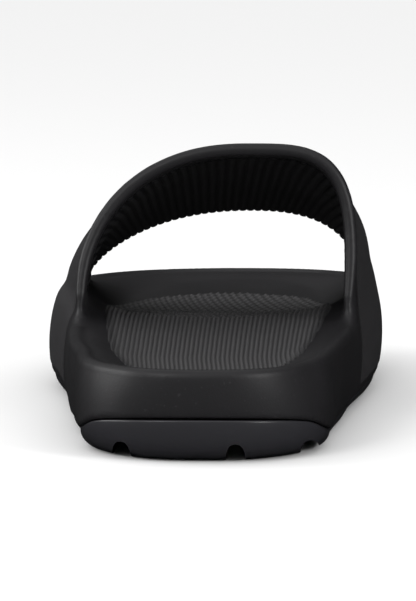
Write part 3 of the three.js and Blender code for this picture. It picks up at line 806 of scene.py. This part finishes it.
class SLIDE_OT_footbed(bpy.types.Operator):
    """Presses the fine ribs and diamonds into the middle of the footbed"""

    bl_idname = "slide.footbed"
    bl_label = "Footbed ribs"

    rib_steps = 6
    row_step = 1.1 * MM
    back_rows = 4
    slab_depth = 1.2 * MM
    edge_width = 1.3 * MM
    sunk = 0.35 * MM
    proud = 0.08 * MM
    # The ribs spread towards the toe, sway outwards at mid foot and bend along the inner side.
    fan = 0.06
    drift = 5 * MM
    inner_bend = 9 * MM
    # From ribs to diamonds across the crest line, and from tall diamonds to calm ones.
    turn_lead, turn_blend = 2 * MM, 4 * MM
    calm_start, calm_blend = 10 * MM, 16 * MM
    # Just past the crest the gaps between the diamonds sink, and their colour goes down to the dark foam as
    # painted shade.
    gap_depth = 0.45 * MM
    gap_lead, gap_length, gap_blend = 1.5 * MM, 9 * MM, 5 * MM
    # Painted shade: the share of the painted light kept in the grooves, and the width over which the painted
    # light fades into the dark foam at the field's edge.
    groove_shade_level = 0.55
    painted_light_fade = 4.5 * MM

    def relief(self, form, across, y):
        """The height of the ribs and diamonds, where across is a place in the unfanned pattern."""
        bed = form.footbed
        ribs = (1 + np.cos(2 * math.pi * across / bed.rib_pitch)) / 2
        turn = np.cos(2 * math.pi * across / bed.diamond_width)
        bow = np.where(across < 0, bed.crest_outer, bed.crest_inner)
        ahead = y - bed.crest - bow * (2 * across / form.sole.ball_width) ** 2
        diamonds = (1 + turn * np.cos(2 * math.pi * ahead / bed.diamond_length)) / 2
        past = ease((ahead + self.turn_lead) / self.turn_blend)
        calm = ease((ahead - self.calm_start) / self.calm_blend)
        tall = lerp(bed.diamond_height, bed.rib_height, calm)
        in_gap = ease(ahead / self.gap_lead) * (1 - ease((ahead - self.gap_length) / self.gap_blend))
        return lerp(bed.rib_height * ribs, tall * diamonds, past) - self.gap_depth * in_gap

    def execute(self, context):
        form = SlideForm(context.scene)
        sole, bed = form.sole, form.footbed
        start, end = FIELD["along"][0] * sole.length, FIELD["along"][-1] * sole.length
        half = sole.ball_width / 2
        widest = max(max(FIELD["outer"]), max(FIELD["inner"])) * half
        ribs = math.ceil(2 * widest / bed.rib_pitch) + 2
        rows = int((end - start) / self.row_step) // self.back_rows * self.back_rows + 1
        place = (np.arange(ribs * self.rib_steps + 1) / self.rib_steps - ribs / 2) * bed.rib_pitch
        across, y = np.meshgrid(place, np.linspace(start, end, rows), indexing="xy")
        ahead = ease((y - start) / (end - start))
        bend = self.inner_bend * ahead * np.maximum(0, across / half) ** 2
        x = form.centre(y) + across * (1 + self.fan * ahead) - self.drift * ahead * (1 - ahead) + bend
        left = form.centre(y) - form.get("field", "outer", y) * half
        right = form.centre(y) + form.get("field", "inner", y) * half
        x = np.clip(x, left - self.edge_width, right + self.edge_width)
        edge = np.minimum(np.minimum(x - left, right - x), np.minimum(y - start, end - y))
        fade = ease(edge / self.edge_width)
        relief = self.relief(form, across, y)
        lift = lerp(-self.sunk, self.proud + relief, fade)
        grid = np.stack([x, y, surface_heights(form, x, y) + lift], axis=-1)
        up = np.array([0, 0, 1.0])
        made = slab(form, "footbed_ribs", grid, up, self.slab_depth, (self.back_rows, self.rib_steps))
        # Painted light on the rib tops and painted shade in the grooves and gaps: the mask follows the
        # relief, and fades out at the field's edge.
        tone = lerp(self.groove_shade_level, 1, relief / bed.rib_height)
        add_mask(made, "tops", ease(edge / self.painted_light_fade) * tone)
        join_doubles(made)
        finish = context.scene.slide_finish
        # Painted light and shade: the footbed's lighter colour on the rib tops, and the dark foam colour as
        # painted shade in the grooves.
        material = foam_material(context, "footbed_foam_painted_light", finish.bed, bloom=0.04, groove_shade=finish.foam)
        finish_piece(made, material, "moulded_body")
        return {"FINISHED"}


class SLIDE_OT_lining(bpy.types.Operator):
    """Runs the ribs along the inside of the strap"""

    bl_idname = "slide.lining"
    bl_label = "Ribs inside the strap"

    rib_steps = 8
    row_count = 37
    back_rows = 4
    slab_depth = 1.1 * MM
    first_share, last_share = 0.035, 0.965
    first_across, last_across = 0.075, 0.997
    rear_fade, root_fade = 0.03, 0.02
    sunk = 0.3 * MM
    proud = 0.05 * MM
    girth_samples = 200
    # The power that keeps the painted light on the very tops of the ribs, with painted shade between them.
    top_power = 4

    def execute(self, context):
        form = SlideForm(context.scene)
        strap = form.strap
        middle = (strap.rear_top + strap.front_top) / 2
        arch = form.strap_inner(np.linspace(self.first_share, self.last_share, self.girth_samples), middle)
        girth = np.linalg.norm(np.diff(arch, axis=0), axis=1).sum()
        ribs = round(girth / strap.rib_pitch)
        share, across = np.meshgrid(
            np.linspace(self.first_share, self.last_share, ribs * self.rib_steps + 1),
            np.linspace(self.first_across, self.last_across, self.row_count),
            indexing="xy",
        )
        at, _, out = form.strap_frame(share, form.strap_y(share, across))
        turns = (share - self.first_share) / (self.last_share - self.first_share) * ribs
        relief = np.sqrt(np.abs(np.sin(math.pi * turns)))
        from_root = np.minimum(share - self.first_share, self.last_share - share)
        fade = ease((across - self.first_across) / self.rear_fade) * ease(from_root / self.root_fade)
        lift = lerp(-self.sunk, self.proud + strap.rib_height * relief, fade)
        grid = at - out * lift[..., None]
        made = slab(form, "strap_inner_ribs", grid, -out, self.slab_depth, (self.back_rows, self.rib_steps))
        # Painted light on the very tops of the ribs, painted shade in the grooves between them.
        add_mask(made, "tops", fade * relief ** self.top_power)
        finish = context.scene.slide_finish
        material = foam_material(context, "lining_foam_painted_light_and_shade", finish.lining, gloss=0.12, groove_shade=finish.lining_groove_shade)
        finish_piece(made, material, "moulded_body")
        return {"FINISHED"}


class SLIDE_OT_outsole(bpy.types.Operator):
    """Makes the outsole with its rounded edge and the channels in its tread"""

    bl_idname = "slide.outsole"
    bl_label = "Outsole"

    # A channel's section, as shares of its width and depth.
    section = (
        (-0.5, 0), (-0.5, 0.45), (-0.47, 0.66), (-0.38, 0.84), (-0.24, 0.96), (-0.08, 1),
        (0.08, 1), (0.24, 0.96), (0.38, 0.84), (0.47, 0.66), (0.5, 0.45), (0.5, 0),
    )
    below = -3 * MM
    ledge_round = 0.5 * MM
    ledge_length = 9 * MM
    edge_rings, ledge_rings = 20, 6
    flat_insets = (4, 0.5)
    seam_insets = (1.2, 3, 5, 7, 9, 12, 15, 18, 22)
    # The top stays this far below the seam's named height, and this far in from the foam's edge.
    seam_play, inset_play = 0.1 * MM, 0.2 * MM
    crease = math.radians(38)
    long_steps, cross_steps = 80, 40

    def channel(self, form, path, width, roof):
        """A cutter along a path, from below the floor up to the roof's height over each y."""
        run = np.gradient(path, axis=0)
        run /= np.linalg.norm(run, axis=1, keepdims=True)
        section = np.array(self.section)
        x = path[:, :1] + run[:, 1:] * section[:, 0] * width
        y = path[:, 1:] - run[:, :1] * section[:, 0] * width
        z = lerp(self.below, roof(path[:, 1])[:, None], section[None, :, 1])
        return new_tube(form, "channel_form", np.stack([x, y, z], axis=-1))

    def channels(self, form):
        sole = form.sole

        def channel_x(row, y):
            return form.centre(y) + lerp(row[0], row[1], ease(y / sole.length)) * form.full_half(y)

        def long_roof(y):
            mouth = sole.channel_mouth * (1 - ease(y / sole.heel_radius))
            return form.tread(y) + sole.channel_depth + mouth

        def cross_roof(y):
            return form.tread(y) + sole.cross_depth

        y = np.linspace(-sole.channel_width, sole.length + sole.channel_width, self.long_steps)
        for row in CHANNELS:
            yield self.channel(form, np.stack([channel_x(row, y), y], axis=1), sole.channel_width, long_roof)
        across = np.linspace(-1, 1, self.cross_steps)
        for along in CROSS_SHARES:
            y = along * sole.length - sole.cross_bow * across * across
            x = lerp(channel_x(CHANNELS[0], y), channel_x(CHANNELS[-1], y), (across + 1) / 2)
            yield self.channel(form, np.stack([x, y], axis=1), sole.cross_width, cross_roof)

    def execute(self, context):
        form = SlideForm(context.scene)
        sole = form.sole
        rings = RingMesh(form)
        y = rings.y
        # Behind the heel the outsole stands proud of the wall as a small ledge.
        proud = sole.lip_ledge * (1 - ease(y / self.ledge_length))
        step = form.step_in(y) - proud
        tread, top = form.tread(y), form.lip(y) - self.seam_play
        rise = np.maximum(0, form.lip(y) - tread - sole.outsole_thickness)
        reach = sole.edge_round + form.edge_round_per_rise * rise
        for inset in self.flat_insets:
            rings.add(step + reach + inset * MM, tread)
        for angle in np.linspace(0, math.pi / 2, self.edge_rings):
            up = 1 - math.cos(angle)
            rings.add(step + reach * (1 - math.sin(angle)), lerp(tread, top - self.ledge_round, up))
        for angle in np.linspace(0, math.pi / 2, self.ledge_rings)[1:]:
            inset = self.ledge_round * (1 - math.cos(angle))
            rings.add(step + inset, top - self.ledge_round * (1 - math.sin(angle)))
        for distance in np.array(self.seam_insets) * MM:
            inset = form.seam_distance(y, distance) + self.inset_play
            rings.add(inset, form.seam_height(y, distance) - self.seam_play)
        made = rings.build(
            "outsole_tread",
            lambda px, py: form.tread(py),
            lambda px, py: form.seam_height(py, SEAM_END) - self.seam_play,
        )
        for cutter in self.channels(form):
            apply_modifier(made, "Channel", "BOOLEAN", operation="DIFFERENCE", solver="EXACT", object=cutter)
            remove(cutter)
        finish_piece(made, outsole_material(context), "outsole")
        made.data.set_sharp_from_angle(angle=self.crease)
        return {"FINISHED"}


# How strongly patches and specks grey the colour, how strongly painted light lightens the hatch lines, and
# how high the grain stands in the bump.
PATCH_SHARE, SPECK_SHARE, HATCH_LIGHT_SHARE = 0.12, 0.3, 0.4
GRAIN_SHARE = 0.12
FOAM_BUMP, OUTSOLE_BUMP = 0.3 * MM, 0.02 * MM
# The foam's roughness, and what its patches and its hatched panel add.
FOAM_ROUGHNESS, PATCH_ROUGHNESS, HATCH_ROUGHNESS = 0.40, 0.14, 0.2


def group_of(name, inputs, outputs):
    """A shader node group with named sockets, and its input and output nodes."""
    group = bpy.data.node_groups.new(name, "ShaderNodeTree")
    for label, kind, default in inputs:
        socket = group.interface.new_socket(label, in_out="INPUT", socket_type="NodeSocket" + kind)
        if default is not None:
            socket.default_value = default
    for label, kind in outputs:
        group.interface.new_socket(label, in_out="OUTPUT", socket_type="NodeSocket" + kind)
    return group, group.nodes.new("NodeGroupInput"), group.nodes.new("NodeGroupOutput")


def set_inputs(node, values):
    for name, value in values.items():
        node.inputs[name].default_value = value


def math_node(tree, operation, *values):
    node = tree.nodes.new("ShaderNodeMath")
    node.operation = operation
    for socket, value in zip(node.inputs, values):
        if isinstance(value, (int, float)):
            socket.default_value = value
        else:
            tree.links.new(value, socket)
    return node.outputs[0]


def noise_node(tree, vector, scale, detail):
    node = tree.nodes.new("ShaderNodeTexNoise")
    tree.links.new(vector, node.inputs["Vector"])
    tree.links.new(scale, node.inputs["Scale"])
    node.inputs["Detail"].default_value = detail
    return node.outputs["Fac"]


def foam_skin_group():
    """The skin of moulded foam: a fine grain, a few specks and broad uneven patches."""
    speck_size, speck_level, speck_gain = 0.55, 0.70, 4.0
    found = bpy.data.node_groups.get("foam_skin")
    if found:
        return found
    tree, given, result = group_of(
        "foam_skin",
        (("Vector", "Vector", None), ("Grain", "Float", 1500.0), ("Patch", "Float", 28.0)),
        (("Height", "Float"), ("Patches", "Float"), ("Specks", "Float")),
    )
    vector = given.outputs["Vector"]
    grain = noise_node(tree, vector, given.outputs["Grain"], 3)
    patch = noise_node(tree, vector, given.outputs["Patch"], 4)
    coarser = math_node(tree, "MULTIPLY", given.outputs["Grain"], speck_size)
    raised = math_node(tree, "SUBTRACT", noise_node(tree, vector, coarser, 1), speck_level)
    specks = math_node(tree, "MULTIPLY", math_node(tree, "MAXIMUM", raised, 0.0), speck_gain)
    tree.links.new(grain, result.inputs["Height"])
    tree.links.new(patch, result.inputs["Patches"])
    tree.links.new(specks, result.inputs["Specks"])
    return tree


def hatch_group():
    """Fine slanted lines in the y and z plane, as heights from 0 to 1."""
    found = bpy.data.node_groups.get("fine_hatch")
    if found:
        return found
    tree, given, result = group_of(
        "fine_hatch",
        (("Vector", "Vector", None), ("Pitch", "Float", 0.0015), ("Slant", "Float", 0.55)),
        (("Height", "Float"),),
    )
    split = tree.nodes.new("ShaderNodeSeparateXYZ")
    tree.links.new(given.outputs["Vector"], split.inputs[0])
    slanted = math_node(tree, "MULTIPLY", split.outputs["Z"], given.outputs["Slant"])
    along = math_node(tree, "ADD", split.outputs["Y"], slanted)
    turns = math_node(tree, "DIVIDE", along, given.outputs["Pitch"])
    wave = math_node(tree, "SINE", math_node(tree, "MULTIPLY", turns, 2 * math.pi))
    tree.links.new(math_node(tree, "MULTIPLY_ADD", wave, 0.5, 0.5), result.inputs["Height"])
    return tree


def placed(tree, group, **values):
    node = tree.nodes.new("ShaderNodeGroup")
    node.node_tree = group
    set_inputs(node, values)
    return node


def base_material(name, values):
    """A material with its shader's own values, its object coordinates and the foam's skin."""
    made = bpy.data.materials.new(name)
    made.use_nodes = True
    tree = made.node_tree
    shader = tree.nodes["Principled BSDF"]
    set_inputs(shader, values)
    place = tree.nodes.new("ShaderNodeTexCoord").outputs["Object"]
    skin = placed(tree, foam_skin_group())
    tree.links.new(place, skin.inputs["Vector"])
    return made, tree, shader, place, skin


def mixed(tree, factor, first, second):
    node = tree.nodes.new("ShaderNodeMix")
    node.data_type = "RGBA"
    tree.links.new(factor, node.inputs["Factor"])
    for index, colour in ((6, first), (7, second)):
        if isinstance(colour, bpy.types.NodeSocket):
            tree.links.new(colour, node.inputs[index])
        else:
            node.inputs[index].default_value = (*colour, 1)
    return node.outputs[2]


def patched(tree, skin, ground, dust_and_light):
    """The ground colour, a little dustier in broad patches."""
    patches = math_node(tree, "MULTIPLY", skin.outputs["Patches"], PATCH_SHARE)
    return mixed(tree, patches, ground, dust_and_light)


def bump(tree, shader, height, distance):
    node = tree.nodes.new("ShaderNodeBump")
    set_inputs(node, {"Distance": distance, "Strength": 1})
    tree.links.new(height, node.inputs["Height"])
    tree.links.new(node.outputs["Normal"], shader.inputs["Normal"])


def mask_node(tree, name):
    node = tree.nodes.new("ShaderNodeAttribute")
    node.attribute_name = name
    return node.outputs["Fac"]


def foam_material(context, name, ground, gloss=0.3, bloom=0.0, hatched=False, groove_shade=None):
    """Moulded foam of a ground colour. Where a groove colour is given, it is painted shade, the colour
    between the ribs' tops.
    """
    dust_and_light = context.scene.slide_finish.foam_dust_and_light
    made, tree, shader, place, skin = base_material(
        name, {"Specular IOR Level": gloss, "Sheen Weight": bloom, "Sheen Roughness": 0.4}
    )
    patches = skin.outputs["Patches"]
    specks = math_node(tree, "MINIMUM", skin.outputs["Specks"], SPECK_SHARE)
    colour = mixed(tree, specks, patched(tree, skin, ground, dust_and_light), dust_and_light)
    height = math_node(tree, "MULTIPLY", skin.outputs["Height"], GRAIN_SHARE)
    roughness = math_node(tree, "MULTIPLY_ADD", patches, PATCH_ROUGHNESS, FOAM_ROUGHNESS)
    # Painted shade: where the tops mask is low, between the ribs, the colour goes to the given darker groove
    # colour.
    if groove_shade is not None:
        colour = mixed(tree, mask_node(tree, "tops"), groove_shade, colour)
    if hatched:
        mask = mask_node(tree, "hatch")
        lines = placed(tree, hatch_group(), Pitch=context.scene.slide_strap.hatch_pitch)
        tree.links.new(place, lines.inputs["Vector"])
        drawn = math_node(tree, "MULTIPLY", lines.outputs["Height"], mask)
        height = math_node(tree, "ADD", height, drawn)
        # Painted light: the hatch lines are painted lighter, standing in for the light that the fine relief
        # scatters.
        colour = mixed(tree, math_node(tree, "MULTIPLY", drawn, HATCH_LIGHT_SHARE), colour, dust_and_light)
        roughness = math_node(tree, "MULTIPLY_ADD", mask, HATCH_ROUGHNESS, roughness)
    tree.links.new(colour, shader.inputs["Base Color"])
    tree.links.new(roughness, shader.inputs["Roughness"])
    bump(tree, shader, height, FOAM_BUMP)
    return made


def outsole_material(context):
    """Smooth satin rubber under a thin coat of gloss."""
    finish = context.scene.slide_finish
    made, tree, shader, _, skin = base_material(
        "outsole_rubber",
        {"Roughness": 0.36, "Specular IOR Level": 0.35, "Coat Weight": 0.25, "Coat Roughness": 0.3},
    )
    colour = patched(tree, skin, finish.outsole, finish.foam_dust_and_light)
    tree.links.new(colour, shader.inputs["Base Color"])
    bump(tree, shader, skin.outputs["Height"], OUTSOLE_BUMP)
    return made


class SLIDE_OT_stage(bpy.types.Operator):
    """Sets the floor, the world, the soft lights and the camera"""

    bl_idname = "slide.stage"
    bl_label = "Studio"

    camera_place = (0.0631, -1.5993, 0.210)
    camera_target = (0.0, -0.02, 0.036)
    camera_lens = 292
    floor_size = 12
    world_strength = 0.7
    # The sky is a very wide distant light, which lights the whole floor evenly.
    sky_way = (0.35, 0.12, -1)
    sky_angle = math.radians(120)
    sky_strength = 1.6
    # Each lamp's name, place, width and height in metres, and power in watts.
    lamps = (
        ("rear_left", (-0.75, -1.15, 0.95), 0.5, 0.35, 5),
        ("left", (-1.3, 0.1, 0.5), 0.8, 0.5, 7),
        ("rear_right", (0.9, -0.7, 0.45), 0.4, 0.3, 6),
    )
    lamp_target = (0, 0, 0.05)

    def put(self, name, data, at, way):
        """Places a light or the camera, turned the given way."""
        made = bpy.data.objects.new(name, data)
        made.location = at
        made.rotation_euler = Vector(way).to_track_quat("-Z", "Y").to_euler()
        bpy.context.scene.collection.objects.link(made)
        return made

    def add_floor(self, context):
        bpy.ops.mesh.primitive_plane_add(size=self.floor_size)
        floor = context.object
        floor.name = "studio_floor"
        material = bpy.data.materials.new("studio_floor")
        material.use_nodes = True
        colour = (*context.scene.slide_finish.floor, 1)
        set_inputs(
            material.node_tree.nodes["Principled BSDF"],
            {"Base Color": colour, "Roughness": 0.9, "Specular IOR Level": 0},
        )
        floor.data.materials.append(material)
        # Neither the pale floor nor the world is mirrored in the dark walls.
        floor.visible_glossy = False
        floor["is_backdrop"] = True

    def add_world(self, context):
        world = bpy.data.worlds.new("studio_world")
        world.use_nodes = True
        background = world.node_tree.nodes["Background"]
        set_inputs(background, {"Color": (1, 1, 1, 1), "Strength": self.world_strength})
        context.scene.world = world
        world.cycles_visibility.glossy = False
        context.scene.view_settings.view_transform = "Standard"

    def add_lights(self):
        sky = bpy.data.lights.new("soft_sky", "SUN")
        sky.angle = self.sky_angle
        sky.energy = self.sky_strength
        self.put("soft_sky", sky, (0, 0, 0), self.sky_way)
        for name, at, width, height, power in self.lamps:
            lamp = bpy.data.lights.new(name, "AREA")
            lamp.shape = "RECTANGLE"
            lamp.size, lamp.size_y = width, height
            lamp.energy = power
            self.put(name, lamp, at, Vector(self.lamp_target) - Vector(at))

    def add_camera(self, context):
        camera = bpy.data.cameras.new("camera")
        camera.lens = self.camera_lens
        camera.sensor_width = 36
        camera.clip_start = 0.01
        aim = Vector(self.camera_target) - Vector(self.camera_place)
        context.scene.camera = self.put("camera", camera, self.camera_place, aim)

    def execute(self, context):
        self.add_floor(context)
        self.add_world(context)
        self.add_lights()
        self.add_camera(context)
        return {"FINISHED"}


class SLIDE_PT_panel(bpy.types.Panel):
    """Lists the slide's pieces and sizes"""

    bl_idname = "SLIDE_PT_panel"
    bl_label = "Slide sandal"
    bl_space_type = "VIEW_3D"
    bl_region_type = "UI"
    bl_category = "Slide"

    def draw(self, context):
        for operator in OPERATORS:
            self.layout.operator(operator.bl_idname)
        for name in PROPERTY_GROUPS:
            settings = getattr(context.scene, name)
            box = self.layout.box()
            for key in type(settings).__annotations__:
                box.prop(settings, key)


OPERATORS = (SLIDE_OT_stage, SLIDE_OT_body, SLIDE_OT_footbed, SLIDE_OT_lining, SLIDE_OT_outsole)
PROPERTY_GROUPS = {
    "slide_sole": SlideSoleSizes,
    "slide_strap": SlideStrapSizes,
    "slide_footbed": SlideFootbedSizes,
    "slide_finish": SlideFinish,
}


def register():
    for group in PROPERTY_GROUPS.values():
        bpy.utils.register_class(group)
    for cls in (*OPERATORS, SLIDE_PT_panel):
        bpy.utils.register_class(cls)
    for name, group in PROPERTY_GROUPS.items():
        setattr(bpy.types.Scene, name, bpy.props.PointerProperty(type=group))


def unregister():
    for name in PROPERTY_GROUPS:
        delattr(bpy.types.Scene, name)
    for cls in (SLIDE_PT_panel, *reversed(OPERATORS)):
        bpy.utils.unregister_class(cls)
    for group in PROPERTY_GROUPS.values():
        bpy.utils.unregister_class(group)


def main():
    register()
    for operator in OPERATORS:
        module, name = operator.bl_idname.split(".")
        getattr(getattr(bpy.ops, module), name)()
    boxes = {"cad": CAD_BOX, "visual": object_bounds()}
    plain = {key: [[float(v) for v in corner] for corner in box] for key, box in boxes.items()}


if __name__ == "__main__":
    main()
